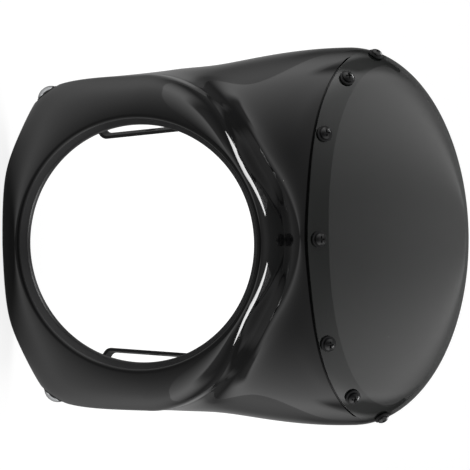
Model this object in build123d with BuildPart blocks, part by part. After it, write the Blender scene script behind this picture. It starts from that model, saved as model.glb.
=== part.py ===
from build123d import *
import math
import os

os.makedirs("parts", exist_ok=True)

# Headlight cowl with a smoked windscreen, in millimetres.
# Seen from the front, +X is to the right and +Z is up; +Y runs back towards the rider.
# The origin is the centre of the headlight opening, where its straight wall begins.

# Headlight opening and its turned-in lip
opening_r = 93.0
lip_width = 5.0
lip_depth = 7.0
lip_length = 6.0
lip_wall = 2.6

# Nacelle: the rounded body around the headlight
cheek_half_width = 130.5
cheek_drop = 119.6
cheek_squareness = 4.4
chin_angle = -62.6
chin_r = 134.8
chin_softness = 8.4
cheek_depth = 32.0
cheek_roundness = 2.2
collar_r = 103.0
collar_angle = 60.0
flare = 0.11

# Shield: the raked, egg-shaped body that carries the windscreen
shield_half_width = 166.0
shield_depth = 181.0
brow_z = 143.5
crown_z = 242.0
keel_z = -118.0
shield_squareness = 3.0
tuck = 0.35
tuck_softness = 60.0
brow_softness = 20.0
blend = 18.0

# Walls, and the joint between the shell and the windscreen
wall = 3.0
screen_wall = 3.0
seam_y = 63.0
seam_z = 119.0
seam_slope = 0.45
seam_gap = 1.0
seam_setback = 6.0
sheet_clearance = 0.3
flange_rise = 21.5
flange_slope = 0.55
flange_setback = 8.0
joggle = 7.0

# Rear edge of the shell, seen from the side
rear_low_y = 57.0
rear_mid_y = 112.0

# Windscreen screws, washers and nuts
# each pair of screws: its share of the way back from the middle screw, and its rise above the seam
screw_pairs = ((0.095, 8.6), (0.35, 10.8), (0.70, 10.8))
screw_rise = 10.8
screw_slope = 0.51
screw_r = 2.5
screw_clearance = 0.5
screw_head_r = 4.75
screw_head_h = 3.4
screw_head_rim = 1.6
screw_tail = 2.0
recess_length = 5.6
recess_width = 1.3
recess_depth = 1.8
washer_r = 6.6
washer_t = 1.4
nut_across_flats = 8.0
nut_h = 4.0
nut_seat_margin = 0.6
nut_seat_depth = 0.6
thread_clearance = 0.3
seat_clearance = 0.45

# Corner bolts
bolt_angle = -34.0
bolt_y = 21.0
bolt_lean = 13.5
bolt_r = 4.0
bolt_clearance = 0.4
bolt_head_r = 8.2
bolt_head_h = 4.4
bolt_head_rim = 0.8
bolt_socket_r = 2.9
bolt_socket_depth = 2.4
bolt_washer_r = 9.4
bolt_washer_t = 1.2
bolt_nut_across_flats = 13.0
bolt_nut_h = 6.5
bolt_tail = 2.5
flat_r = 24.0
flat_depth = 2.8
pad_r = 15.0
pad_top_r = 11.5
pad_t = 6.5

# Strap brackets
strap_t = 2.5
strap_w = 20.0
strap_bend_r = 5.0
foot_up = 17.8
foot_down = 12.0
arm_x = 86.0
arm_lean = 3.5
arm_length = 86.0
arm_hole_r = 4.25
arm_hole_up = 37.0

# How finely the moulded skin is drawn
spokes = 26
rings = 12
ring_growth = 1.6

# Values worked out from the sizes above
rim_r = opening_r + lip_width
rim_y = -lip_depth
rake = (shield_depth - seam_y) / (crown_z - seam_z)
reach = 2 * crown_z
seam_front = seam_y - seam_setback
flange_inset = screen_wall + sheet_clearance
nut_seat = nut_seat_depth - flange_inset - wall
nut_corner_r = nut_across_flats / math.sqrt(3)
bottom = (Align.CENTER, Align.CENTER, Align.MIN)
top = (Align.CENTER, Align.CENTER, Align.MAX)


def hinge(value, softness):
    """Zero on one side and the value on the other, with a soft corner between."""
    return 0.5 * (value + math.hypot(value, softness))


def nacelle_radius(angle, y):
    """Radius of the rounded body around the headlight, at one angle and depth."""
    side, height = abs(math.cos(angle)), abs(math.sin(angle))
    if angle < 0:
        corner = (side / cheek_half_width) ** cheek_squareness
        corner += (height / cheek_drop) ** cheek_squareness
        full = corner ** (-1 / cheek_squareness)
        slant = chin_r / max(math.cos(angle - math.radians(chin_angle)), 0.2)
        full -= hinge(full - slant, chin_softness)
    else:
        share = min(angle / math.radians(collar_angle), 1)
        share = share * share * (3 - 2 * share)
        full = cheek_half_width + (collar_r - cheek_half_width) * share
    depth = y - rim_y
    share = min(max(depth / cheek_depth, 0), 1)
    swell = (1 - (1 - share) ** cheek_roundness) ** (1 / cheek_roundness)
    return rim_r + (full - rim_r) * swell + flare * depth


def shield_front(z):
    """How far back the front of the shield lies on the centre line, at one height."""
    front = seam_y + tuck * (math.hypot(z, tuck_softness) - math.hypot(seam_z, tuck_softness))
    return front + (rake - tuck) * hinge(z - seam_z, brow_softness)


def in_shield(x, y, z):
    """True inside the shield: an egg from the front, a square-shouldered bow from above."""
    height = crown_z - brow_z if z > brow_z else brow_z - keel_z
    outline = 1 - ((z - brow_z) / height) ** 2
    if outline <= 0:
        return False
    half_width = shield_half_width * math.sqrt(outline)
    back = max(shield_depth - y, 0) / max(shield_depth - shield_front(z), 0.01)
    return (x / half_width) ** shield_squareness + back ** shield_squareness < 1


def shield_radius(angle, y):
    """Radius at which a spoke leaves the shield, found by halving."""
    low, high = 0.0, reach
    for _ in range(34):
        middle = (low + high) / 2
        if in_shield(abs(middle * math.cos(angle)), y, middle * math.sin(angle)):
            low = middle
        else:
            high = middle
    return low


def skin_radius(angle, y):
    """Outer skin: the nacelle and the shield run into each other in a soft valley."""
    nacelle, shield = nacelle_radius(angle, y), shield_radius(angle, y)
    return shield + hinge(nacelle - shield, blend)


def inset_radius(angle, y, inset):
    """Radius of a face that lies a wall or more inside the outer skin."""
    radius = skin_radius(angle, y)
    if inset == 0:
        return radius
    step, turn = 0.4, 0.01
    along = (skin_radius(angle, y + step) - skin_radius(angle, y - step)) / (2 * step)
    high, low = min(angle + turn, math.pi / 2), max(angle - turn, -math.pi / 2)
    around = (skin_radius(high, y) - skin_radius(low, y)) / ((high - low) * radius)
    return radius - inset * math.sqrt(1 + along * along + around * around)


def skin_point(angle, y):
    """A point of the outer skin, on the +X side."""
    radius = skin_radius(angle, y)
    return Vector(radius * math.cos(angle), y, radius * math.sin(angle))


def ring_points(y, inset):
    """Outline of the body across one depth, from the bottom round the +X side and back."""
    angles = [math.pi * (i / spokes - 0.5) for i in range(spokes + 1)]
    radii = [inset_radius(angle, y, inset) for angle in angles]
    right = [(r * math.cos(a), r * math.sin(a)) for r, a in zip(radii, angles)]
    left = [(-x, z) for x, z in right[-2:0:-1]]
    return right + left


def skin_body(inset, start):
    """Solid body inside the skin, lofted through rings from one depth to the rear."""
    depth = shield_depth - start
    stations = [start + depth * (i / rings) ** ring_growth for i in range(rings + 1)]
    turns = [i / (2 * spokes) for i in range(2 * spokes + 1)]
    with BuildPart() as body:
        for y in stations:
            with BuildSketch(Plane.XZ.offset(-y)):
                with BuildLine():
                    add(Edge.make_spline(ring_points(y, inset), periodic=True, parameters=turns))
                make_face()
        loft()
    return body.part


def side_slab(*corners):
    """Everything inside a side-view outline, right across the cowl."""
    with BuildPart() as slab:
        with BuildSketch(Plane.YZ):
            with BuildLine():
                Polyline(*corners, close=True)
            make_face()
        extrude(amount=reach, both=True)
    return slab.part


def seam_height(y):
    return seam_z + seam_slope * (y - seam_y)


def flange_height(y):
    return seam_z + flange_rise + flange_slope * (y - seam_y - flange_rise)


def screw_height(y, rise):
    return seam_z + rise + screw_slope * (y - seam_y - rise)


def screw_angle(y, rise):
    """Angle of the spoke on which the skin meets the line of screws at one depth."""
    low, high = 0.0, math.pi / 2
    for _ in range(30):
        middle = (low + high) / 2
        if skin_point(middle, y).Z < screw_height(y, rise):
            low = middle
        else:
            high = middle
    return low


def middle_screw_depth():
    """Depth at which the middle of the skin meets the line of screws."""
    low, high = seam_front, shield_depth
    for _ in range(30):
        middle = (low + high) / 2
        if skin_point(math.pi / 2, middle).Z < screw_height(middle, screw_rise):
            low = middle
        else:
            high = middle
    return low


def skin_plane(angle, y, side):
    """Plane that touches the outer skin and faces out of it, on one side of the cowl."""
    step = 0.02
    point = skin_point(angle, y)
    around = skin_point(angle + step, y) - skin_point(angle - step, y)
    along = skin_point(angle, y + 1) - skin_point(angle, y - 1)
    out = along.cross(around)
    return Plane((side * point.X, point.Y, point.Z), z_dir=(side * out.X, out.Y, out.Z))


def dome_fastener(head_r, head_h, rim_h, shank_r, shank_length):
    """Dome-headed screw with the underside of its head at zero and its shank pointing down."""
    with BuildPart() as fastener:
        with BuildSketch(Plane.XZ):
            with BuildLine():
                TangentArc((0, head_h), (head_r, rim_h), tangent=(1, 0))
                Polyline((head_r, rim_h), (head_r, 0), (shank_r, 0), (shank_r, -shank_length),
                         (0, -shank_length), (0, head_h))
            make_face()
        revolve(axis=Axis.Z)
    return fastener.part


# Bodies that the sheets are cut from
outer_body = skin_body(0, rim_y)
inner_body = skin_body(wall, rim_y + wall)
screen_body = skin_body(screen_wall, seam_front - joggle)
flange_body = skin_body(flange_inset, seam_front - joggle)
flange_core = skin_body(flange_inset + wall, seam_front - joggle)

# Side-view outlines of the sheets
low_z, front_y = -2 * cheek_drop, 2 * rim_y
with BuildPart() as shell_slab:
    with BuildSketch(Plane.YZ):
        with BuildLine():
            tip = (shield_depth, seam_height(shield_depth))
            heel = (rear_low_y, -cheek_drop)
            Polyline(tip, (seam_front, seam_height(seam_front)), (front_y, seam_height(seam_front)),
                     (front_y, low_z), (rear_low_y, low_z), heel)
            Spline(heel, (rear_mid_y, 0), tip)
        make_face()
    extrude(amount=reach, both=True)
screen_slab = side_slab((seam_front, seam_height(seam_front) + seam_gap),
                        (shield_depth, seam_height(shield_depth) + seam_gap),
                        (shield_depth, reach), (seam_front, reach))
flange_rear = shield_depth - flange_setback
flange_slab = side_slab((seam_front, seam_height(seam_front) - seam_gap),
                        (flange_rear, seam_height(flange_rear) - seam_gap),
                        (flange_rear, flange_height(flange_rear)),
                        (seam_front, flange_height(seam_front)))
joggle_slab = side_slab((seam_front, seam_height(seam_front) - joggle),
                        (flange_rear, seam_height(flange_rear) - joggle),
                        (flange_rear, seam_height(flange_rear)),
                        (seam_front, seam_height(seam_front)))

# Places of the fasteners
middle_y = middle_screw_depth()
screw_planes = [skin_plane(math.pi / 2, middle_y, 0)]
for share, rise in screw_pairs:
    screw_y = middle_y + share * (shield_depth - middle_y)
    for side in (1, -1):
        screw_planes.append(skin_plane(screw_angle(screw_y, rise), screw_y, side))
bolt_turn, seat_lean = math.radians(bolt_angle), math.radians(bolt_lean)
bolt_out = Vector(math.cos(bolt_turn), 0, math.sin(bolt_turn))
seat_r = skin_radius(bolt_turn, bolt_y) - flat_depth * math.cos(seat_lean)
seat_y = bolt_y + flat_depth * math.sin(seat_lean)
bolt_planes = []
for side in (1, -1):
    out = Vector(side * bolt_out.X, 0, bolt_out.Z)
    axis = out * math.cos(seat_lean) - Vector(0, math.sin(seat_lean), 0)
    back = out * math.sin(seat_lean) + Vector(0, math.cos(seat_lean), 0)
    bolt_planes.append(Plane(out * seat_r + Vector(0, seat_y, 0), x_dir=back, z_dir=axis))

# Ledge under the windscreen, with the joggle that steps it down from the skin
with BuildPart() as ledge:
    add(flange_body)
    add(flange_slab, mode=Mode.INTERSECT)
    add(flange_core, mode=Mode.SUBTRACT)
with BuildPart() as step_band:
    add(outer_body)
    add(joggle_slab, mode=Mode.INTERSECT)
    add(flange_core, mode=Mode.SUBTRACT)

# Cowl shell
with BuildPart() as cowl_shell:
    add(outer_body)
    add(shell_slab.part, mode=Mode.INTERSECT)
    add(inner_body, mode=Mode.SUBTRACT)
    add(step_band.part)
    add(ledge.part)
    # turned-in lip of the headlight opening
    with BuildSketch(Plane.XY):
        with BuildLine():
            Polyline((opening_r - lip_wall, rim_y), (rim_r, rim_y), (rim_r + lip_wall / 2, rim_y + lip_wall),
                     (opening_r + lip_wall, lip_wall / 2), (opening_r + lip_wall, lip_length),
                     (opening_r - lip_wall, lip_length), close=True)
        make_face()
    revolve(axis=Axis.Y)
    with BuildSketch(Plane.XY):
        with BuildLine():
            Polyline((0, front_y), (rim_r + lip_width, rim_y - lip_depth), (opening_r, 0),
                     (opening_r, 2 * lip_length), (0, 2 * lip_length), close=True)
        make_face()
    revolve(axis=Axis.Y, mode=Mode.SUBTRACT)
    # seats for the corner bolts: a flat across the corner outside, a tapered pad inside
    with Locations(*bolt_planes):
        Cylinder(flat_r, 4 * flat_depth, align=bottom, mode=Mode.SUBTRACT)
    with Locations(*bolt_planes):
        Cone(pad_r, pad_top_r, pad_t, align=top)
    with Locations(*bolt_planes):
        Cylinder(bolt_r + bolt_clearance, 4 * pad_t, mode=Mode.SUBTRACT)
    # screw holes, each with a flat seat for its nut at the back of the ledge
    with Locations(*screw_planes):
        Cylinder(screw_r + screw_clearance, 8 * flange_inset, mode=Mode.SUBTRACT)
    with Locations(*[plane.offset(nut_seat) for plane in screw_planes]):
        Cylinder(nut_corner_r + nut_seat_margin, 2 * wall, align=top, mode=Mode.SUBTRACT)
cowl_shell.part.label = "cowl_shell"
export_step(cowl_shell.part, "parts/cowl_shell.step")

# Smoked windscreen
with BuildPart() as windscreen:
    add(outer_body)
    add(screen_slab, mode=Mode.INTERSECT)
    add(screen_body, mode=Mode.SUBTRACT)
    with Locations(*screw_planes):
        Cylinder(screw_r + screw_clearance, 8 * flange_inset, mode=Mode.SUBTRACT)
windscreen.part.label = "windscreen"
export_step(windscreen.part, "parts/windscreen.step")

# Heights along a screw, counted outwards from the skin
head_base = seat_clearance + washer_t
screw_length = head_base - nut_seat + nut_h + screw_tail

with BuildPart() as screw:
    add(dome_fastener(screw_head_r, screw_head_h, screw_head_rim, screw_r, screw_length))
    with Locations((0, 0, screw_head_h)):
        Box(recess_length, recess_width, recess_depth, align=top, mode=Mode.SUBTRACT)
        Box(recess_width, recess_length, recess_depth, align=top, mode=Mode.SUBTRACT)
with BuildPart() as screen_screws:
    with Locations(*[plane.offset(head_base) for plane in screw_planes]):
        add(screw.part)
screen_screws.part.label = "screen_screws"
export_step(screen_screws.part, "parts/screen_screws.step")

with BuildPart() as screen_washers:
    with Locations(*[plane.offset(seat_clearance) for plane in screw_planes]):
        Cylinder(washer_r, washer_t, align=bottom)
        Cylinder(screw_r + thread_clearance, 3 * washer_t, mode=Mode.SUBTRACT)
screen_washers.part.label = "screen_washers"
export_step(screen_washers.part, "parts/screen_washers.step")

with BuildPart() as screen_nut:
    with BuildSketch(Plane.XY.offset(nut_seat)):
        RegularPolygon(nut_across_flats / 2, 6, major_radius=False)
        Circle(screw_r + thread_clearance, mode=Mode.SUBTRACT)
    extrude(amount=-nut_h)
with BuildPart() as screen_nuts:
    with Locations(*screw_planes):
        add(screen_nut.part)
screen_nuts.part.label = "screen_nuts"
export_step(screen_nuts.part, "parts/screen_nuts.step")

# Corner bolts with their rubber washers and nuts
bolt_nut_top = -(pad_t + strap_t)
bolt_length = bolt_washer_t - bolt_nut_top + bolt_nut_h + bolt_tail
with BuildPart() as bolt:
    add(dome_fastener(bolt_head_r, bolt_head_h, bolt_head_rim, bolt_r, bolt_length))
    with BuildSketch(Plane.XY.offset(bolt_head_h)):
        RegularPolygon(bolt_socket_r, 6)
    extrude(amount=-bolt_socket_depth, mode=Mode.SUBTRACT)
with BuildPart() as bracket_bolts:
    with Locations(*[plane.offset(bolt_washer_t) for plane in bolt_planes]):
        add(bolt.part)
bracket_bolts.part.label = "bracket_bolts"
export_step(bracket_bolts.part, "parts/bracket_bolts.step")

with BuildPart() as bolt_washers:
    with Locations(*bolt_planes):
        Cylinder(bolt_washer_r, bolt_washer_t, align=bottom)
        Cylinder(bolt_r + bolt_clearance, 3 * bolt_washer_t, mode=Mode.SUBTRACT)
bolt_washers.part.label = "bolt_washers"
export_step(bolt_washers.part, "parts/bolt_washers.step")

with BuildPart() as bolt_nut:
    with BuildSketch(Plane.XY.offset(bolt_nut_top)):
        RegularPolygon(bolt_nut_across_flats / 2, 6, major_radius=False)
        Circle(bolt_r + thread_clearance, mode=Mode.SUBTRACT)
    extrude(amount=-bolt_nut_h)
with BuildPart() as bracket_nuts:
    with Locations(*bolt_planes):
        add(bolt_nut.part)
bracket_nuts.part.label = "bracket_nuts"
export_step(bracket_nuts.part, "parts/bracket_nuts.step")

# Strap bracket: foot on the corner seat, leg standing inwards, arm rising beside the headlight
foot_out = Vector(bolt_out.X, bolt_out.Z)
foot_along = Vector(-bolt_out.Z, bolt_out.X)
foot_r = seat_r - pad_t - strap_t / 2
foot_end = foot_out * foot_r - foot_along * foot_down
heel_bend = foot_out * foot_r + foot_along * foot_up
arm_bend = heel_bend - foot_out * ((heel_bend.X - arm_x) / foot_out.X)
lean = math.radians(arm_lean)
arm_up = Vector(math.sin(lean), math.cos(lean))
arm_top = arm_bend + arm_up * arm_length
arm_hole = arm_bend + arm_up * arm_hole_up
hole_out = Vector(math.cos(lean), 0, -math.sin(lean))

# drawn upright first, then leant forward about the seat with everything else on it
with BuildPart() as strap:
    with BuildSketch(Plane.XZ.offset(-seat_y)):
        with BuildLine():
            FilletPolyline(foot_end, heel_bend, arm_bend, arm_top, radius=strap_bend_r)
        trace(line_width=strap_t)
    extrude(amount=strap_w / 2, both=True)
    with Locations(Plane((foot_out.X * foot_r, seat_y, foot_out.Y * foot_r), z_dir=bolt_out)):
        Cylinder(bolt_r + bolt_clearance, 4 * strap_t, mode=Mode.SUBTRACT)
    with Locations(Plane((arm_hole.X, seat_y, arm_hole.Y), z_dir=hole_out)):
        Cylinder(arm_hole_r, 4 * strap_t, mode=Mode.SUBTRACT)
seat_line = Axis(bolt_planes[0].origin, Vector(foot_along.X, 0, foot_along.Y))
with BuildPart() as right_bracket:
    add(strap.part.rotate(seat_line, -bolt_lean))
right_bracket.part.label = "right_bracket"
export_step(right_bracket.part, "parts/right_bracket.step")

with BuildPart() as left_bracket:
    add(mirror(right_bracket.part, about=Plane.YZ))
left_bracket.part.label = "left_bracket"
export_step(left_bracket.part, "parts/left_bracket.step")
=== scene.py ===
# %% [markdown]
# # A motorcycle headlight cowl with a smoked windscreen
#
# The real cowl is a gloss black moulded shell with a round opening for the headlight, and a raked
# smoked windscreen screwed to a ledge at its top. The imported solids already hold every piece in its
# place, at a size estimated from the photograph. This script dresses them: the two big moulded sheets
# are made again as dense, even meshes, because a gloss black surface shows every facet in its
# reflections. The small fasteners and the strap brackets keep their solids and only get a finish.

# %% Load the fixed frame
import math

import bmesh
import bpy
import numpy as np
from mathutils import Matrix, Vector


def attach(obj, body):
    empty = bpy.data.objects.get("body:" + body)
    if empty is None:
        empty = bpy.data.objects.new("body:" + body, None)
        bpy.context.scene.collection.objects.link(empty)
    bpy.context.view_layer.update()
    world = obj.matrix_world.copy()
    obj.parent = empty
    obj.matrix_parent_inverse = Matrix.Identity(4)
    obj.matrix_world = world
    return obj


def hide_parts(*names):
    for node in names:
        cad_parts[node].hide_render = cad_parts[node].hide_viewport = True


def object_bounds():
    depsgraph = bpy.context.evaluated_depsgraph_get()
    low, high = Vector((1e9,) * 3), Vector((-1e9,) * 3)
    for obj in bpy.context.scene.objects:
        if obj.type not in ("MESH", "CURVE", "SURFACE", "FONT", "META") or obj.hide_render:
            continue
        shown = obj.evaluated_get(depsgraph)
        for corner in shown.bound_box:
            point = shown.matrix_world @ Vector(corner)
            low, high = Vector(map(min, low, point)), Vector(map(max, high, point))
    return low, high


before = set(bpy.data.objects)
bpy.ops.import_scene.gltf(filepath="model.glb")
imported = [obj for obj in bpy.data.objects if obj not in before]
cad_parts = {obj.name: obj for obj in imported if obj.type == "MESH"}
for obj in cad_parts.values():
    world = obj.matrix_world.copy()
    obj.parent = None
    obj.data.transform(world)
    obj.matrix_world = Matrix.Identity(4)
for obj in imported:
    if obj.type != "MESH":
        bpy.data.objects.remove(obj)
cad_low, cad_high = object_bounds()
MM = 0.001
print("pieces in the frame:", sorted(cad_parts))
print("size in mm:", [round(v / MM, 1) for v in cad_high - cad_low])

# %% [markdown]
# ## The moulded skin as a formula
#
# The outer skin is a distance from the axis of the headlight opening, for every angle round that axis
# and every depth behind the rim. Two simple bodies make it: a rounded nacelle that swells out of the
# rim, and a raked shield with an egg-shaped outline. A soft maximum of the two runs them into each
# other in the smooth valley above the headlight. A traced mesh would do as well, but a formula gives
# exact, wave-free reflections at any density.

# %% Sizes of the skin
# Lip round the opening
opening_r = 93 * MM
lip_width = 5 * MM
lip_depth = 7 * MM
lip_length = 6 * MM
lip_wall = 2.6 * MM
rim_r = opening_r + lip_width
rim_y = -lip_depth

# Nacelle
cheek_half_width = 130.5 * MM
cheek_drop = 119.6 * MM
cheek_squareness = 4.4
chin_angle = math.radians(-62.6)
chin_r = 134.8 * MM
chin_softness = 8.4 * MM
least_cosine = 0.2
cheek_depth = 32 * MM
cheek_roundness = 2.2
collar_r = 103 * MM
collar_angle = math.radians(60)
flare = 0.11

# Shield
shield_half_width = 166 * MM
shield_depth = 181 * MM
brow_z = 143.5 * MM
crown_z = 242 * MM
keel_z = -118 * MM
shield_squareness = 3
tuck = 0.35
tuck_softness = 60 * MM
brow_softness = 20 * MM
blend = 18 * MM

# Seam, rear edge and walls
seam_y = 63 * MM
seam_z = 119 * MM
seam_slope = 0.45
seam_gap = 1 * MM
rake = (shield_depth - seam_y) / (crown_z - seam_z)
rear_low_y = 57 * MM
rear_mid_y = 112 * MM
wall = 3 * MM
screen_wall = 3 * MM
sheet_clearance = 0.3 * MM
print("rake of the screen in degrees:", round(math.degrees(math.atan2(1, rake)), 1))

# %% [markdown]
# Each body is a rule that can be asked at any place. The nacelle answers with its distance from the axis:
# its lower half is a rounded square with slanted chin corners, its upper half a round collar. The shield
# only answers whether a point lies inside it, because its distance has no simple formula.


# %% Nacelle and shield
def hinge(value, softness):
    """Zero on one side and the value on the other, with a soft corner between."""
    return 0.5 * (value + np.hypot(value, softness))


def nacelle_radius(angle, y):
    side, height = np.abs(np.cos(angle)), np.abs(np.sin(angle))
    corner = (side / cheek_half_width) ** cheek_squareness + (height / cheek_drop) ** cheek_squareness
    corner = corner ** (-1 / cheek_squareness)
    slant = chin_r / np.maximum(np.cos(angle - chin_angle), least_cosine)
    corner -= hinge(corner - slant, chin_softness)
    share = np.clip(angle / collar_angle, 0, 1)
    share = share * share * (3 - 2 * share)
    collar = cheek_half_width + (collar_r - cheek_half_width) * share
    full = np.where(angle < 0, corner, collar)
    depth = y - rim_y
    share = np.clip(depth / cheek_depth, 0, 1)
    swell = (1 - (1 - share) ** cheek_roundness) ** (1 / cheek_roundness)
    return rim_r + (full - rim_r) * swell + flare * depth


def shield_front(z):
    front = seam_y + tuck * (np.hypot(z, tuck_softness) - math.hypot(seam_z, tuck_softness))
    return front + (rake - tuck) * hinge(z - seam_z, brow_softness)


def in_shield(x, y, z):
    height = np.where(z > brow_z, crown_z - brow_z, brow_z - keel_z)
    outline = 1 - ((z - brow_z) / height) ** 2
    half_width = shield_half_width * np.sqrt(np.maximum(outline, 1e-9))
    back = np.maximum(shield_depth - y, 0) / np.maximum(shield_depth - shield_front(z), 1e-5)
    return (outline > 0) & ((x / half_width) ** shield_squareness + back ** shield_squareness < 1)


nacelle_side = nacelle_radius(np.array([0.0]), np.array([cheek_depth]))[0]
print("half width of the nacelle, in mm:", round(nacelle_side / MM, 1))

# %% [markdown]
# A rule that only says inside or outside is turned into a distance by halving: a spoke is cut in two again
# and again, and the half that holds the border is kept. With arrays, all spokes are halved at once. The
# normals come from small steps along the finished skin.


# %% Points and normals of the skin
halvings = 36


def halve(low, high, is_before):
    """The place between two limits where a test turns from true to false, for whole arrays at once."""
    for _ in range(halvings):
        middle = (low + high) / 2
        before = is_before(middle)
        low, high = np.where(before, middle, low), np.where(before, high, middle)
    return low


def skin(angle, y):
    """Points of the outer skin on the +X side."""
    angle, y = np.broadcast_arrays(np.asarray(angle, float), np.asarray(y, float))
    cosine, sine = np.cos(angle), np.sin(angle)
    shield = halve(np.zeros(y.shape), np.full(y.shape, 2 * crown_z),
                   lambda r: in_shield(np.abs(r * cosine), y, r * sine))
    radius = shield + hinge(nacelle_radius(angle, y) - shield, blend)
    return np.stack([radius * cosine, y, radius * sine], -1)


def unit(vectors):
    return vectors / np.linalg.norm(vectors, axis=-1, keepdims=True)


def outward(angle, y):
    """Unit normals of the outer skin."""
    turn, step = 2e-3, 0.2 * MM
    around = skin(angle + turn, y) - skin(angle - turn, y)
    along = skin(angle, y + step) - skin(angle, np.minimum(y, shield_depth) - step)
    return unit(np.cross(along, around))


top_skin = skin(math.pi / 2, np.array([0.0, 0.06, 0.1, 0.18]))
print("height of the skin along its middle, in mm:", (top_skin[:, 2] / MM).round(1))

# %% [markdown]
# The seam between shell and windscreen is a slanting line on the skin: it rises towards the back. To follow
# it, a point on the skin has to be found from its height, either at a known depth or on a known spoke.


# %% Lines on the skin
search_y = seam_y - 6 * MM


def seam_height(y):
    return seam_z + seam_slope * (y - seam_y)


def spoke_at_height(height, y):
    """Angle at which the skin has a height, at one depth."""
    return halve(np.full(y.shape, -math.pi / 2), np.full(y.shape, math.pi / 2),
                 lambda a: skin(a, y)[..., 2] < height)


def depth_at_height(height_of_y, angle):
    """Depth at which a spoke of the skin reaches a slanting line, near the middle of the cowl."""
    start = np.full(np.shape(angle), search_y)
    return halve(start, np.full(np.shape(angle), shield_depth),
                 lambda y: skin(angle, y)[..., 2] < height_of_y(y))


seam_start = depth_at_height(seam_height, np.array([math.pi / 2]))[0]
print("the seam starts", round(seam_start / MM, 1), "mm behind the opening")

# %% [markdown]
# ## Meshes from profiles
#
# Both sheets are rings of one closed profile, like slices of a hose. Each column of the grid runs over
# the outer face, round the edge, back along the inner face and round the other edge. That gives a
# watertight sheet with true thickness and rounded edges, with no modifier to apply.


# %% Grid helpers
def arc_lengths(points):
    steps = np.linalg.norm(np.diff(points, axis=0), axis=-1)
    return np.concatenate([np.zeros((1,) + steps.shape[1:]), np.cumsum(steps, 0)])


def resample(values, lengths, shares):
    """Values along one line, read at shares of its length."""
    return np.interp(shares * lengths[-1], lengths, values)


def mirrored(columns, closed):
    """Columns of the +X half, from bottom to top, followed by their mirror images back down."""
    other = columns[:, -2:0:-1] if closed else columns[:, -2::-1]
    return np.concatenate([columns, other * (-1, 1, 1)], 1)


def edge_rows(edge, normal, ahead, radius, thickness, count=7):
    """Half an ellipse round the edge of a sheet, from its outer face to its inner face."""
    turn = np.linspace(0, math.pi, count + 2)[1:-1, None, None]
    return edge + ahead * radius * np.sin(turn) - normal * thickness / 2 * (1 - np.cos(turn))


# %% [markdown]
# The grid becomes a mesh in one go: four neighbours make a quad, and the profile closes on itself. A ring of
# columns closes too, and an open strip gets a cap at each end. Numbers that belong to a row, such as how
# far it lies inside, are stored on the mesh, so that a finish can read them.


# %% Mesh from a grid
def grid_object(name, points, wrap_columns):
    """A closed profile (rows) carried along columns, as a smooth mesh."""
    rows, columns = points.shape[:2]
    index = np.arange(rows * columns).reshape(rows, columns)
    last = columns if wrap_columns else columns - 1
    here = index[:, :last]
    beside = np.roll(index, -1, 1)[:, :last]
    quads = np.stack([here, beside, np.roll(beside, -1, 0), np.roll(here, -1, 0)], -1).reshape(-1, 4)
    faces = quads.tolist()
    if not wrap_columns:
        faces += [index[:, 0].tolist(), index[::-1, -1].tolist()]
    mesh = bpy.data.meshes.new(name)
    mesh.from_pydata(points.reshape(-1, 3).tolist(), [], faces)
    tidy = bmesh.new()
    tidy.from_mesh(mesh)
    bmesh.ops.recalc_face_normals(tidy, faces=tidy.faces)
    tidy.to_mesh(mesh)
    tidy.free()
    mesh.polygons.foreach_set("use_smooth", [True] * len(mesh.polygons))
    piece = bpy.data.objects.new(name, mesh)
    bpy.context.scene.collection.objects.link(piece)
    print(name, "has", sum(len(p.vertices) - 2 for p in mesh.polygons), "triangles")
    return piece


def mark_rows(piece, columns, label, per_row):
    """Stores a number for each row of the profile on the mesh, for the finish to read."""
    layer = piece.data.attributes.new(label, "FLOAT", "POINT")
    layer.data.foreach_set("value", np.repeat(per_row, columns))


# %% [markdown]
# ## The shell
#
# The shell ends in the seam under the windscreen and, at the sides and below, in a slanting rear edge.
# Those two lines are found first, as angles and depths on the skin. Every column of the mesh then runs
# from the rim straight to its own place on that border, so that the border is a clean row of edges and
# nothing has to be cut.

# %% Border of the shell
border_columns = 150
line_points = 400
line_spacing = 0.6


def rear_edge(z):
    """Depth of the shell's rear edge at a height: one gentle bow through heel, middle and tip."""
    heel, tip = (rear_low_y, -cheek_drop), (shield_depth, seam_height(shield_depth))
    lower = (rear_mid_y - heel[0]) / (0 - heel[1])
    upper = (tip[0] - rear_mid_y) / (tip[1] - 0)
    bow = (upper - lower) / (tip[1] - heel[1])
    depth = heel[0] + (z - heel[1]) * lower + bow * (z - heel[1]) * z
    return np.where(z < heel[1], rear_low_y, depth)


def rear_depth(angle):
    """Depth at which a spoke of the skin meets the rear edge."""
    return halve(np.full(angle.shape, rear_low_y - MM), np.full(angle.shape, shield_depth),
                 lambda y: y < rear_edge(skin(angle, y)[..., 2]))


tip_angle = spoke_at_height(np.array([seam_height(shield_depth)]), np.array([shield_depth]))[0]
rear_angles = np.linspace(-math.pi / 2, tip_angle, line_points)
rear_depths = rear_depth(rear_angles)
seam_depths = shield_depth + (seam_start - shield_depth) * np.linspace(0, 1, line_points)[1:] ** line_spacing
seam_angles = spoke_at_height(seam_height(seam_depths), seam_depths)
seam_angles[-1] = math.pi / 2
border_angle = np.concatenate([rear_angles, seam_angles])
border_depth = np.concatenate([rear_depths, seam_depths])
border_length = arc_lengths(skin(border_angle, border_depth))
tip_share = border_length[line_points - 1] / border_length[-1]
tip_column = round(tip_share * (border_columns - 1))
shares = np.concatenate([np.linspace(0, tip_share, tip_column + 1),
                         np.linspace(tip_share, 1, border_columns - tip_column)[1:]])
end_angle = resample(border_angle, border_length, shares)
end_depth = resample(border_depth, border_length, shares)
print("half of the border is", round(border_length[-1] / MM), "mm long, its tip at column", tip_column)

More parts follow.
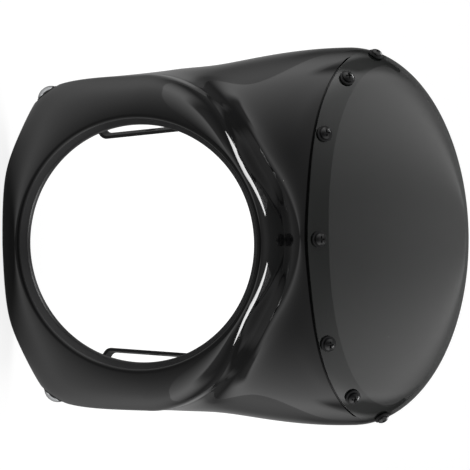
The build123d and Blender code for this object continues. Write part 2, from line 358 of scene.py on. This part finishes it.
# %% [markdown]
# The skin leaves the rim at a right angle to the axis, so its first millimetres of depth hold a lot of
# width. Rows spaced by depth would bunch up or leave facets there. They are spaced by length along the
# surface instead, a little closer towards the rim. The last two rows lie close together, so that the
# smooth shading stays flat up to the rounded edge.

# %% Outer and inner face of the shell
skin_rows = 110
row_crowding = 1.25
fine_rows = 500
close_row = 0.002
crest_r = 2 * MM
edge_r = 1.2 * MM
seam_edge_r = 0.4 * MM
border_r = np.where(np.arange(border_columns) < tip_column, edge_r, seam_edge_r)
start_angle = -math.pi / 2 + math.pi * shares
fine = np.linspace(0, 1, fine_rows)[:, None]
fine_angle = start_angle + (end_angle - start_angle) * fine
fine_depth = rim_y + (end_depth - rim_y) * fine ** cheek_roundness
fine_length = arc_lengths(skin(fine_angle, fine_depth))
row_share = np.linspace(0, 1, skin_rows) ** row_crowding
row_share[-2] = 1 - close_row
row_angle = np.zeros((skin_rows, border_columns))
row_depth = np.zeros((skin_rows, border_columns))
for column in range(border_columns):
    length = fine_length[:, column]
    wanted = crest_r + (length[-1] - border_r[column] - crest_r) * row_share
    row_angle[:, column] = np.interp(wanted, length, fine_angle[:, column])
    row_depth[:, column] = np.interp(wanted, length, fine_depth[:, column])
outer = skin(row_angle, row_depth)
normal = outward(row_angle, row_depth)
rounded = edge_rows(outer[-1], normal[-1], unit(outer[-1] - outer[-2]), border_r[:, None], wall)
inner = (outer - wall * normal)[::-1]
print("longest column of the shell:", round(fine_length[-1].max() / MM), "mm")

# %% [markdown]
# The lip is the part of the moulding that turns in round the headlight. From the crest of the rim a cone runs
# back to a short straight wall, which ends in a rounded rear edge. A lathe profile would make it too. Here
# each of its rows is a circle with the same columns as the skin, so that the two join without a seam.

# %% Lip
lip_back_r = opening_r + lip_wall
lip_edge = 0.8 * MM
lip_root = 1.5 * MM
wall_start = 1.2 * MM
cone = Vector((lip_width, -lip_depth)).normalized() * crest_r
cone_start = 0.6 * cone


def ring(radius, y):
    """One row of the lip: a circle round the opening's axis."""
    depth = np.full(border_columns, y)
    return np.stack([radius * np.cos(start_angle), depth, radius * np.sin(start_angle)], -1)


def soft_corner(before, corner, after, count):
    """Rows that turn a corner in a smooth bow."""
    share = np.linspace(0, 1, count + 2)[1:-1, None, None]
    return before * (1 - share) ** 2 + 2 * corner * share * (1 - share) + after * share ** 2


lip = [ring(lip_back_r, lip_root), ring(lip_back_r, lip_length - lip_edge)]
lip += list(soft_corner(lip[-1], ring(lip_back_r, lip_length), ring(lip_back_r - lip_edge, lip_length), 4))
lip += [ring(lip_back_r - lip_edge, lip_length), ring(opening_r + lip_edge, lip_length)]
lip += list(soft_corner(lip[-1], ring(opening_r, lip_length), ring(opening_r, lip_length - lip_edge), 4))
lip += [ring(opening_r, lip_length - lip_edge), ring(opening_r, wall_start)]
turn_in = ring(opening_r + cone_start[0], cone_start[1])
lip += list(soft_corner(lip[-1], ring(opening_r, 0), turn_in, 4)) + [turn_in]
crest_in = ring(rim_r - cone[0], rim_y - cone[1])
lip += [turn_in * (1 - share) + crest_in * share for share in np.linspace(0, 1, 8)[1:]]
lip += list(soft_corner(crest_in, ring(rim_r, rim_y), outer[0], 8))
lip = np.array(lip)
print("lip has", len(lip), "rows")

# %% [markdown]
# Lip, outer face, edge and inner face make one profile. The moulding is polished outside only. Each row
# therefore stores how far it lies inside: one on the lip and the inner face, zero on the outer face.

# %% Mesh of the shell
crest_rows = 9
shell_points = mirrored(np.concatenate([lip, outer, rounded, inner]), closed=True)
shell = grid_object("cowl_shell_moulding", shell_points, wrap_columns=True)
lip_fade = np.linspace(0.9, 0, 4)
satin_lip = np.append(np.ones(len(lip) - crest_rows), lip_fade)
inside = np.concatenate([satin_lip, np.zeros(len(lip) - len(satin_lip) + len(outer)),
                         np.linspace(0, 1, len(rounded)), np.ones(len(inner))])
mark_rows(shell, shell_points.shape[1], "inside", inside)
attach(shell, "root")
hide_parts("cowl_shell")

# %% [markdown]
# Each lower corner has a flat for its bolt, with a tapered pad behind it. Flats and pads are plain bodies,
# so they are cut from and joined to the mesh.

# %% Corner flats and pads
bolt_angle = math.radians(-34)
bolt_y = 21 * MM
bolt_lean = math.radians(13.5)
flat_r = 24 * MM
flat_depth = 2.8 * MM
pad_r = 15 * MM
pad_top_r = 11.5 * MM
pad_t = 6.5 * MM
pad_sink = 0.2 * MM
cut_height = 4 * flat_depth
round_segments = 64


def seat_matrix(side):
    """Frame of a bolt seat: its third axis points out of the flat."""
    out = Vector((side * math.cos(bolt_angle), 0, math.sin(bolt_angle)))
    axis = out * math.cos(bolt_lean) - Vector((0, math.sin(bolt_lean), 0))
    back = out * math.sin(bolt_lean) + Vector((0, math.cos(bolt_lean), 0))
    point = Vector(skin(bolt_angle, bolt_y)) * Vector((side, 1, 1)) - axis * flat_depth
    return Matrix.Translation(point) @ Matrix((back, axis.cross(back), axis)).transposed().to_4x4()


def round_body(place, low_r, high_r, low, high):
    """A cone or cylinder standing on a seat."""
    mesh = bpy.data.meshes.new("tool")
    build = bmesh.new()
    middle = place @ Matrix.Translation((0, 0, (low + high) / 2))
    bmesh.ops.create_cone(build, cap_ends=True, segments=round_segments,
                          radius1=low_r, radius2=high_r, depth=high - low, matrix=middle)
    build.to_mesh(mesh)
    build.free()
    tool = bpy.data.objects.new("tool", mesh)
    bpy.context.scene.collection.objects.link(tool)
    return tool


def carve(piece, tool, operation):
    """Cuts a tool from a piece or joins it on."""
    step = piece.modifiers.new("carve", "BOOLEAN")
    step.operation, step.object, step.solver = operation, tool, "EXACT"
    seen = piece.evaluated_get(bpy.context.evaluated_depsgraph_get())
    piece.data = bpy.data.meshes.new_from_object(seen)
    piece.modifiers.clear()
    bpy.data.objects.remove(tool)


seats = [seat_matrix(1), seat_matrix(-1)]
for seat in seats:
    carve(shell, round_body(seat, flat_r, flat_r, 0, cut_height), "DIFFERENCE")
    carve(shell, round_body(seat, pad_r, pad_top_r, -pad_t, -pad_sink), "UNION")
print("corner flats at", [[round(v / MM, 1) for v in seat.translation] for seat in seats])

# %% [markdown]
# The border of a cut is a true crease. It is marked sharp, and everything else stays smooth. The steepness
# of an edge finds most of the creases, but a flat meets the skin at a shallow angle, so its faces are
# also known by the plane they lie in.

# %% Creases of the cuts
crease_angle = math.radians(35)
same_direction = 0.9999
plane_tolerance = 0.02 * MM


def on_a_seat(face):
    """Whether a face lies in the plane of one of the flats."""
    for seat in seats:
        axis = seat.col[2].xyz
        height = (face.verts[0].co - seat.translation).dot(axis)
        if abs(face.normal.dot(axis)) > same_direction and abs(height) < plane_tolerance:
            return True
    return False


def mark_creases(piece):
    """Sharp edges where faces meet steeply, or where a flat seat ends."""
    work = bmesh.new()
    work.from_mesh(piece.data)
    sharp = 0
    for edge in work.edges:
        if len(edge.link_faces) != 2:
            continue
        first, second = [on_a_seat(face) for face in edge.link_faces]
        edge.smooth = edge.calc_face_angle(0) < crease_angle and first == second
        sharp += not edge.smooth
    for face in work.faces:
        face.smooth = True
    work.to_mesh(piece.data)
    work.free()
    print("sharp edges on", piece.name, sharp)


mark_creases(shell)

# %% [markdown]
# ## The ledge under the windscreen
#
# At the seam the moulding steps down by the thickness of the windscreen and goes on as a ledge, which
# carries the screws and shows through the smoked sheet as a darker band. It is a strip of its own here,
# rooted inside the wall of the shell, because its profile has nothing in common with the plain rear
# edge.

# %% Lines of the ledge
flange_rise = 21.5 * MM
flange_slope = 0.55
flange_setback = 8 * MM
joggle = 7 * MM
flange_inset = screen_wall + sheet_clearance
ledge_columns = 90


def flange_height(y):
    return seam_z + flange_rise + flange_slope * (y - seam_y - flange_rise)


def line_on_skin(height_of_y, rear_y):
    """Angles and depths of a slanting line on the skin, from the rear to the middle of the cowl."""
    middle_y = depth_at_height(height_of_y, np.array([math.pi / 2]))[0]
    depth = rear_y + (middle_y - rear_y) * np.linspace(0, 1, ledge_columns) ** line_spacing
    angle = spoke_at_height(height_of_y(depth), depth)
    angle[-1] = math.pi / 2
    return angle, depth


flange_rear = shield_depth - flange_setback
foot_line = line_on_skin(lambda y: seam_height(y) - joggle, flange_rear)
seam_line = line_on_skin(lambda y: seam_height(y) - seam_gap, flange_rear)
flange_line = line_on_skin(flange_height, flange_rear)
print("the ledge ends", round(flange_rear / MM), "mm behind the opening")

# %% [markdown]
# The strip's profile runs up the front face, round the free edge, down the back face and into the wall of the
# shell. Every row is an inset of the skin between two of the lines, so the ledge follows the windscreen at an
# even distance.

# %% Mesh of the ledge
ledge_rows = 9
face_end = 0.95
foot_share = 0.35
root_shares = [0, 0.9]
ledge_inside = 0.6


def between(low, high, shares):
    """Angles and depths on rows between two lines on the skin."""
    shares = np.asarray(shares)[:, None]
    return low[0] + (high[0] - low[0]) * shares, low[1] + (high[1] - low[1]) * shares


def inset_rows(low, high, inset, shares):
    angle, depth = between(low, high, shares)
    return skin(angle, depth) - inset * outward(angle, depth)


face_share = np.linspace(0, face_end, ledge_rows)
front_face = inset_rows(seam_line, flange_line, flange_inset, face_share)
back_face = inset_rows(seam_line, flange_line, flange_inset + wall, face_share)[::-1]
edge_normal = outward(*between(seam_line, flange_line, face_share[-1:]))[0]
edge_ahead = unit(front_face[-1] - front_face[-2])
flange_edge = edge_rows(front_face[-1], edge_normal, edge_ahead, edge_r, wall, 5)
foot_back = inset_rows(foot_line, seam_line, flange_inset + wall, [foot_share])
root = inset_rows(foot_line, seam_line, wall / 2, root_shares)
ledge_points = np.concatenate([front_face, flange_edge, back_face, foot_back, root])
ledge_points = mirrored(ledge_points, closed=False)
ledge = grid_object("screen_ledge", ledge_points, wrap_columns=False)
mark_rows(ledge, ledge_points.shape[1], "inside", np.full(len(ledge_points), ledge_inside))
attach(ledge, "root")
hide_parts("cowl_shell")

# %% [markdown]
# ## The windscreen
#
# The windscreen carries the same skin on from the seam to its free edge, which is the egg-shaped outline
# of the shield. It is one formed sheet of even thickness with polished, rounded edges. Its columns run
# from the seam to the free edge and end just short of the two sharp tips.

# %% Border of the windscreen
screen_columns = 130
border_points = 300
tip_cut = 1.5 * MM


def screen_foot(y):
    return seam_height(y) + seam_gap


low_edge_angle = spoke_at_height(np.array([screen_foot(shield_depth) + tip_cut]), np.array([shield_depth]))[0]
free_angle = np.linspace(low_edge_angle, math.pi / 2, border_points)
free_depth = np.full(border_points, shield_depth)
free_length = arc_lengths(skin(free_angle, free_depth))
foot_middle = depth_at_height(screen_foot, np.array([math.pi / 2]))[0]
foot_depth = shield_depth + (foot_middle - shield_depth) * np.linspace(0, 1, border_points) ** line_spacing
foot_angle = spoke_at_height(screen_foot(foot_depth), foot_depth)
foot_angle[-1] = math.pi / 2
foot_length = arc_lengths(skin(foot_angle, foot_depth))
column_share = np.linspace(0, 1, screen_columns)
low_line = [resample(values, foot_length, column_share) for values in (foot_angle, foot_depth)]
high_line = [resample(values, free_length, column_share) for values in (free_angle, free_depth)]
print("half of the free edge is", round(free_length[-1] / MM), "mm long")

# %% [markdown]
# The rows of the sheet stop just short of both borders, which leaves room for the rounded edges. As on the
# shell, the outermost rows lie close together. Each row stores its reach, zero at the seam and one at the
# free edge, for the smoke and its painted lightening towards the free edge to follow.

# %% Mesh of the windscreen
screen_rows = 80
face_from, face_to = 0.003, 0.991
free_edge_share = 0.7
foot_edge_r = 0.3 * MM

reach = np.linspace(0, 1, screen_rows)
reach[1], reach[-2] = close_row, 1 - close_row
screen_angle, screen_depth = between(low_line, high_line, face_from + (face_to - face_from) * reach)
face = skin(screen_angle, screen_depth)
face_normal = outward(screen_angle, screen_depth)
to_edge = np.linalg.norm(skin(*high_line) - face[-1], axis=-1, keepdims=True)
free_edge_r = free_edge_share * to_edge
free_edge = edge_rows(face[-1], face_normal[-1], unit(face[-1] - face[-2]), free_edge_r, screen_wall)
foot_edge = edge_rows(face[0], face_normal[0], unit(face[0] - face[1]), foot_edge_r, screen_wall)[::-1]
back = (face - screen_wall * face_normal)[::-1]
screen_points = mirrored(np.concatenate([face, free_edge, back, foot_edge]), closed=False)
screen = grid_object("windscreen_sheet", screen_points, wrap_columns=False)
all_reach = np.concatenate([reach, np.ones(len(free_edge)), reach[::-1], np.zeros(len(foot_edge))])
mark_rows(screen, screen_points.shape[1], "reach", all_reach)
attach(screen, "root")
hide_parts("windscreen")

# %% [markdown]
# ## Finishes
#
# A finish is a small tree of shader nodes. Written node by node it hides its meaning, so two helpers
# keep it readable. The first is a socket that can be added and multiplied like a number: an expression
# on such values adds the Math nodes that it needs.


# %% Values that take part in sums
class Value:
    """An output socket that takes part in sums and products."""

    def __init__(self, finish, socket):
        self.finish, self.socket = finish, socket

    def math(self, operation, *inputs):
        return self.finish.node("ShaderNodeMath", {"operation": operation}, dict(enumerate(inputs)))

    def __add__(self, other):
        return self.math("ADD", self, other)

    def __sub__(self, other):
        return self.math("SUBTRACT", self, other)

    def __rsub__(self, other):
        return self.math("SUBTRACT", other, self)

    def __mul__(self, other):
        return self.math("MULTIPLY", self, other)

    def __lt__(self, other):
        return self.math("LESS_THAN", self, other)

    def __abs__(self):
        return self.math("ABSOLUTE", self)

    __radd__ = __add__
    __rmul__ = __mul__

    def ramp(self, low, high):
        """Zero at one value, one at another, with soft ends."""
        settings = {"interpolation_type": "SMOOTHSTEP"}
        sockets = {"Value": self, "From Min": low, "From Max": high}
        return self.finish.node("ShaderNodeMapRange", settings, sockets)


# %% [markdown]
# The second helper is the tree itself. One method makes any node from its type, its settings and its
# inputs, and a few short ones name what the finishes have in common: noise, specks of dust, a colour
# between two colours, a bump. The room's light is such a tree as well, so the class can also fill a world.


# %% A finish made of nodes
class Finish:
    """One material, or the world, built from nodes."""

    def __init__(self, name, shelf=bpy.data.materials, place="Object"):
        self.owner = shelf.new(name)
        self.owner.use_nodes = True
        self.tree = self.owner.node_tree
        self.tree.nodes.clear()
        self.place = self.node("ShaderNodeTexCoord", out=place)

    def node(self, kind, settings=None, sockets=None, out=0):
        made = self.tree.nodes.new(kind)
        for key, value in (settings or {}).items():
            setattr(made, key, value)
        for key, value in (sockets or {}).items():
            if isinstance(value, Value):
                self.tree.links.new(value.socket, made.inputs[key])
            else:
                made.inputs[key].default_value = value
        return None if out is None else Value(self, made.outputs[out])

    def axis(self, name):
        """One coordinate of the place."""
        return self.node("ShaderNodeSeparateXYZ", None, {0: self.place}, out=name)

    def stored(self, label):
        """A number that was stored on the rows of the mesh."""
        return self.node("ShaderNodeAttribute", {"attribute_name": label}, None, out="Fac")

    def ray(self, kind):
        """One for rays of that kind, zero for all others."""
        return self.node("ShaderNodeLightPath", out=kind)

    def noise(self, size, detail, place=None):
        """Cloudy noise whose patches are about that many metres across."""
        sockets = {"Vector": place or self.place, "Scale": 1 / size, "Detail": detail, "Roughness": 0.55}
        return self.node("ShaderNodeTexNoise", None, sockets)

    def stretched(self, x, y, z):
        """Object coordinates pulled out along each axis."""
        sockets = {0: self.place, 1: (1 / x, 1 / y, 1 / z)}
        return self.node("ShaderNodeVectorMath", {"operation": "MULTIPLY"}, sockets)

    def mix(self, share, first, second):
        """Colour between two colours."""
        settings = {"data_type": "RGBA", "clamp_factor": True}
        return self.node("ShaderNodeMix", settings, {0: share, 6: first, 7: second}, out=2)

    def specks(self, spacing, size, kept):
        """Small scattered specks: one per cell of a grid, most of them left out."""
        settings = {"feature": "F1"}
        sockets = {"Vector": self.place, "Scale": 1 / spacing}
        cell = self.node("ShaderNodeTexVoronoi", settings, sockets, out="Color")
        far = self.node("ShaderNodeTexVoronoi", settings, sockets, out="Distance")
        chance = self.node("ShaderNodeSeparateColor", None, {0: cell}, out=0)
        width = self.node("ShaderNodeSeparateColor", None, {0: cell}, out=1) * (size / spacing)
        return (chance < kept) * (far < width)

    def bump(self, height, distance, strength):
        sockets = {"Height": height, "Distance": distance, "Strength": strength}
        return self.node("ShaderNodeBump", None, sockets)

    def surface(self, **sockets):
        """Ends the material in a principled surface."""
        named = {key.replace("_", " "): value for key, value in sockets.items()}
        shader = self.node("ShaderNodeBsdfPrincipled", None, named)
        self.node("ShaderNodeOutputMaterial", None, {"Surface": shader}, out=None)
        print("finish", self.owner.name, "has", len(self.tree.nodes), "nodes")
        return self.owner


# %% [markdown]
# ### Gloss black moulding
#
# The shell is polished black plastic. It has hardly any colour of its own: what is seen is the room, so
# its roughness is low and almost even, with a faint haze from wiping and a few grains of dust. The lip and
# the inner face of the moulding aren't polished, and the number stored on the mesh makes them satin.


# %% Gloss black
def gloss_black():
    look = Finish("gloss_black_moulding")
    within = look.stored("inside")
    haze = look.noise(0.05, 4)
    wiped = look.noise(0.02, 5, look.stretched(3, 1, 1))
    dust = look.specks(0.012, 0.0006, 0.05)
    black = look.mix(haze, (0.003, 0.003, 0.0032, 1), (0.005, 0.005, 0.0053, 1))
    moulded = look.mix(within, black, (0.013, 0.013, 0.0138, 1))
    colour = look.mix(dust * 0.8, moulded, (0.35, 0.34, 0.33, 1))
    rough = 0.045 + 0.05 * wiped.ramp(0.45, 0.8) + 0.33 * within + 0.4 * dust
    grain = look.noise(0.0012, 2) * (0.1 + within)
    return look.surface(Base_Color=colour, Roughness=rough, IOR=1.5, Normal=look.bump(grain, 0.00003, 0.5))


shell_finish = gloss_black()
shell.data.materials.append(shell_finish)
ledge.data.materials.append(shell_finish)

# %% [markdown]
# ### Smoked windscreen
#
# Smoked acrylic this dark lets only a few hundredths of the light through. The sheet has two faces, and
# each is made mostly opaque through Alpha, so the ledge behind it and the table beyond show faintly. Towards
# the free edge it gets a little clearer, so that more of the white table shows through: a painted lightening
# that stands in for the brighter reflection towards the top of the sheet. The gloss comes from the same
# principled surface. Its index of refraction is set above that of acrylic, to stand in for the back face,
# which reflects too but is mostly hidden here.


# %% Smoked acrylic
def smoked_acrylic():
    look = Finish("smoked_acrylic_sheet")
    outwards = look.stored("reach")
    haze = look.noise(0.06, 4)
    wiped = look.noise(0.015, 5, look.stretched(1, 1, 4))
    dust = look.specks(0.014, 0.0006, 0.06)
    tint = look.mix(haze, (0.010, 0.0115, 0.0105, 1), (0.013, 0.0145, 0.0135, 1))
    colour = look.mix(dust * 0.7, tint, (0.3, 0.3, 0.29, 1))
    rough = 0.05 + 0.05 * wiped.ramp(0.5, 0.8) + 0.4 * dust
    # Alpha drops towards the free edge: painted lightening, the white table showing through in place of
    # reflected light.
    smoke_and_painted_lightening = 0.885 + 0.015 * haze + 0.1 * dust - 0.12 * outwards
    return look.surface(Base_Color=colour, Roughness=rough, IOR=1.7, Alpha=smoke_and_painted_lightening)


screen.data.materials.append(smoked_acrylic())

# %% [markdown]
# ### Screws, washers and nuts of the windscreen
#
# The screws are made as black oxide steel, which gets a little lighter where it is rubbed, and the washers
# under the heads as matt black nylon. The nuts are hidden and get the finish of the screws. These pieces keep
# their solids, so the finish goes into the material slots that the solids already have.


# %% Black oxide and nylon
def dress(finish, *nodes):
    """Gives a finish to solids of the frame."""
    for name in nodes:
        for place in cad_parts[name].material_slots:
            place.material = finish


def black_oxide():
    look = Finish("black_oxide_steel")
    patch = look.noise(0.004, 4)
    rub = look.noise(0.0015, 3)
    colour = look.mix(rub.ramp(0.55, 0.85), (0.004, 0.004, 0.0045, 1), (0.02, 0.02, 0.021, 1))
    rough = 0.25 + 0.15 * patch
    return look.surface(Base_Color=colour, Roughness=rough, Normal=look.bump(rub, 0.00005, 0.4))


def matt_nylon():
    look = Finish("matt_black_nylon")
    patch = look.noise(0.003, 4)
    colour = look.mix(patch, (0.004, 0.004, 0.0045, 1), (0.009, 0.009, 0.01, 1))
    rough = 0.5 + 0.2 * patch
    return look.surface(Base_Color=colour, Roughness=rough, Normal=look.bump(patch, 0.00004, 0.4))


dress(black_oxide(), "screen_screws", "screen_nuts")
dress(matt_nylon(), "screen_washers")

# %% [markdown]
# ### Corner bolts
#
# The two bolts at the lower corners are bright plated steel, made with fine scratches. The dark line under
# each head is made as a black rubber washer, and the hidden nuts get a dull zinc plate. Plate is bare metal,
# so Metallic is one and the colour is that of its reflections.


# %% Bright plate, rubber and zinc
def bright_plate():
    look = Finish("bright_plated_steel")
    patch = look.noise(0.006, 4)
    scratch = look.noise(0.0006, 2, look.stretched(1, 6, 1))
    colour = look.mix(patch, (0.46, 0.47, 0.48, 1), (0.64, 0.65, 0.66, 1))
    rough = 0.12 + 0.15 * patch.ramp(0.4, 0.8) + 0.08 * scratch
    scored = look.bump(scratch, 0.00002, 0.3)
    return look.surface(Base_Color=colour, Roughness=rough, Metallic=1.0, Normal=scored)


def soft_rubber():
    look = Finish("soft_black_rubber")
    patch = look.noise(0.002, 4)
    colour = look.mix(patch, (0.01, 0.01, 0.01, 1), (0.025, 0.025, 0.024, 1))
    rough = 0.65 + 0.2 * patch
    return look.surface(Base_Color=colour, Roughness=rough, Normal=look.bump(patch, 0.00005, 0.5))


def dull_zinc():
    look = Finish("dull_zinc_plate")
    patch = look.noise(0.003, 5)
    colour = look.mix(patch, (0.4, 0.4, 0.38, 1), (0.62, 0.62, 0.6, 1))
    return look.surface(Base_Color=colour, Roughness=0.35 + 0.25 * patch, Metallic=1.0)


dress(bright_plate(), "bracket_bolts")
dress(soft_rubber(), "bolt_washers")
dress(dull_zinc(), "bracket_nuts")

# %% [markdown]
# ### Strap brackets
#
# The straps show only their edges, so their finish is a guess: bent steel with a black powder coat. Powder
# melts into a skin with a fine peel, like that of an orange, which breaks up the light along the edges.


# %% Powder coat
def powder_coat():
    look = Finish("black_powder_coat")
    peel = look.noise(0.0012, 3)
    patch = look.noise(0.02, 4)
    colour = look.mix(patch, (0.012, 0.012, 0.013, 1), (0.022, 0.022, 0.023, 1))
    rough = 0.32 + 0.15 * patch
    return look.surface(Base_Color=colour, Roughness=rough, Normal=look.bump(peel, 0.0001, 0.4))


dress(powder_coat(), "right_bracket", "left_bracket")

# %% [markdown]
# ## Table
#
# The cowl stands on a plain white table. A gloss black surface shows nothing but its surroundings, so the
# table matters twice. To the camera, and through the windscreen, it is white and takes a soft shadow. In
# gloss it is white at both sides and falls off towards the front, into the dark part of the room. A table
# lit by lamps would throw light up at the cowl too, so its glow depends on the kind of ray instead.

# %% Table
table_reach = 14.0
table_front = -1.5
table_gap = 0.5 * MM
table_white = 0.85
table_grey = 0.3
glow_centre_y = -0.05

floor_z = cad_low.z - table_gap
floor_mesh = bpy.data.meshes.new("studio_table")
corners = [(-table_reach, table_front), (table_reach, table_front),
           (table_reach, table_reach), (-table_reach, table_reach)]
floor_mesh.from_pydata([(x, y, floor_z) for x, y in corners], [], [(0, 1, 2, 3)])
floor = bpy.data.objects.new("studio_table", floor_mesh)
bpy.context.scene.collection.objects.link(floor)


def compass(look, centre_y=0.0):
    """Angle from straight ahead, to either side, in radians."""
    aside = abs(look.axis("X"))
    return aside.math("ARCTAN2", aside, centre_y - look.axis("Y"))


def side_light(turn):
    """Light from a compass direction: most from the two sides, fading to none ahead and behind."""
    return turn.ramp(0.1, 1.8) * (1 - turn.ramp(1.5, 2.4))


def white_table():
    look = Finish("white_table")
    seen = look.ray("Is Camera Ray") + look.ray("Is Transmission Ray")
    level = table_white * seen + look.ray("Is Glossy Ray") * side_light(compass(look, glow_centre_y))
    white = look.mix(level, (0, 0, 0, 1), (1, 1, 1, 1))
    shade = look.node("ShaderNodeBsdfDiffuse", None, {"Color": (table_grey, table_grey, table_grey, 1)})
    glow = look.node("ShaderNodeEmission", None, {"Color": white})
    both = look.node("ShaderNodeAddShader", None, {0: shade, 1: glow})
    look.node("ShaderNodeOutputMaterial", None, {"Surface": both}, out=None)
    return look.owner


floor_mesh.materials.append(white_table())
print("table at", round(floor_z / MM, 1), "mm")

# %% [markdown]
# ## Room
#
# The highlights on the real cowl suggest a room that is dark ahead, where the camera stands, bright at both
# sides and dim behind. Towards the back a dark gap runs between side walls and ceiling, which keeps
# the top of the bead round the opening black. Big lamps would show as hard shapes in the gloss, so the room
# is a world whose brightness follows the compass angle and the height. To the camera it is white, so that
# no view shows where the table ends.

# %% Room
base_level = 0.08
ceiling_level = 0.15
side_level = 1.85
side_loss_above = 0.95
gap_depth = 0.85


def studio_room():
    look = Finish("studio_room", bpy.data.worlds, "Generated")
    turn, height = compass(look), look.axis("Z")
    high = height.ramp(0.55, 0.8)
    gap = height.ramp(0.22, 0.4) * (1 - height.ramp(0.6, 0.75)) * turn.ramp(1.4, 1.6)
    sides = side_light(turn) * (side_level - side_loss_above * high) * (1 - gap_depth * gap)
    seen = look.ray("Is Camera Ray")
    strength = seen + (1 - seen) * (base_level + ceiling_level * high + sides)
    glow = look.node("ShaderNodeBackground", None, {"Color": (1, 1, 1, 1), "Strength": strength})
    look.node("ShaderNodeOutputWorld", None, {"Surface": glow}, out=None)
    print("room has", len(look.tree.nodes), "nodes")
    return look.owner


bpy.context.scene.world = studio_room()

# %% [markdown]
# ## Soft boxes
#
# Two soft boxes stand high behind the cowl, one on each side, and draw a thin bright line on the bead round
# the opening. On the windscreen they would leave a white crescent along the free edge. A photographer holds a
# black card in between. Here light linking does the same: the boxes light everything but the windscreen.

# %% Soft boxes
box_place = Vector((0.63, 1.1, 0.93))
box_target = Vector((0.05, 0, 0.09))
box_width, box_height, box_watts = 0.69, 0.37, 6
flag = bpy.data.collections.new("flagged_off_the_windscreen")
flag.objects.link(screen)
flag.collection_objects[0].light_linking.link_state = "EXCLUDE"


def soft_box(name, side):
    lamp = bpy.data.lights.new(name, "AREA")
    lamp.shape, lamp.size, lamp.size_y, lamp.energy = "RECTANGLE", box_width, box_height, box_watts
    holder = bpy.data.objects.new(name, lamp)
    holder.light_linking.receiver_collection = flag
    holder.location = box_place * Vector((side, 1, 1))
    way = (box_target - box_place) * Vector((side, 1, 1))
    holder.rotation_euler = way.to_track_quat("-Z", "Y").to_euler()
    bpy.context.scene.collection.objects.link(holder)
    print("soft box", name, "at", [round(v, 2) for v in holder.location])


soft_box("left_soft_box", -1)
soft_box("right_soft_box", 1)

# %% [markdown]
# ## Camera
#
# The camera looks at the rim of the opening from a little above. The picture is turned on its side: up on the
# cowl is to the right in the frame. One picture doesn't give the distance, so 0.9 m is assumed. The lens, in
# millimetres on a 36 mm sensor, the angles and the place of the rim in the frame are fitted to the photograph
# at that distance.

# %% Camera
picture = 470
sensor = 36
focal_pixels = 1160.5
rim_pixel = (134.64, 244.19)
azimuth, elevation, roll = math.radians(-1.45), math.radians(19.66), math.radians(0.71)
distance = 0.9

rim_centre = Vector((0, rim_y, 0))
from_rim = Vector((math.sin(azimuth) * math.cos(elevation), -math.cos(azimuth) * math.cos(elevation),
                   math.sin(elevation)))
forward = -from_rim
level = forward.cross(Vector((0, 0, 1))).normalized()
rise = level.cross(forward)
across = math.cos(roll) * rise + math.sin(roll) * level
down = math.cos(roll) * level - math.sin(roll) * rise
to_rim = Vector([(pixel - picture / 2) / focal_pixels for pixel in rim_pixel] + [1])
aim = Vector((0, 0, 1)).rotation_difference(to_rim).to_matrix()
axes = aim @ Matrix((across, down, forward))

camera = bpy.data.objects.new("camera", bpy.data.cameras.new("camera"))
camera.data.sensor_width = sensor
camera.data.lens = sensor * focal_pixels / picture
camera.matrix_world = Matrix.Translation(rim_centre + from_rim * distance) @ Matrix(
    (axes[0], -axes[1], -axes[2])).transposed().to_4x4()
bpy.context.scene.collection.objects.link(camera)
bpy.context.scene.camera = camera
bpy.context.scene.view_settings.view_transform = "Standard"
stand = [round(v, 3) for v in camera.matrix_world.translation]
print("lens", round(camera.data.lens, 1), "mm, camera at", stand)
